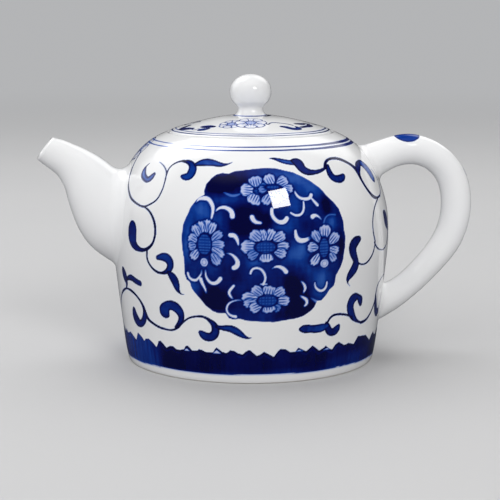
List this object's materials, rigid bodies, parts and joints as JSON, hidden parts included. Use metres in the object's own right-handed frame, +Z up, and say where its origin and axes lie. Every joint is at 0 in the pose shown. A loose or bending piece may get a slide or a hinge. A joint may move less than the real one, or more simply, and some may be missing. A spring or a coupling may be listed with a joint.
{
  "type": "porcelain teapot",
  "caption": "Small barrel-shaped porcelain teapot with a short raised spout, an ear handle and a seated domed lid with a ball knob, for brewing and pouring tea.",
  "frame": {"origin": "centre of the foot ring's resting plane, on the pot's axis", "axes": "+Z up along the pot's axis; the spout reaches towards -X and the handle towards +X"},
  "size_m": [0.157, 0.099, 0.1019],
  "materials": {
    "body_glaze": "white glaze over hand-painted cobalt blue: two round flower medallions, scrolling vines, a saw-toothed foot band",
    "spout_glaze": "plain white glaze",
    "inside_glaze": "plain white glaze",
    "handle_glaze": "white glaze with cobalt dabs along its back",
    "lid_glaze": "white glaze with cobalt flowers, leaves and fine rings",
    "knob_glaze": "plain white glaze"
  },
  "bodies": {
    "pot": {"pot_body": "body_glaze", "spout": "spout_glaze", "spout_strainer": "inside_glaze", "handle": "handle_glaze"},
    "lid": {"lid": "lid_glaze", "lid_knob": "knob_glaze"}
  },
  "joints": [
    {"name": "lid_lift", "type": "slide", "parent": "pot", "child": "lid", "axis": [0, 0, 1], "range_m": [0, 0.06]}
  ]
}
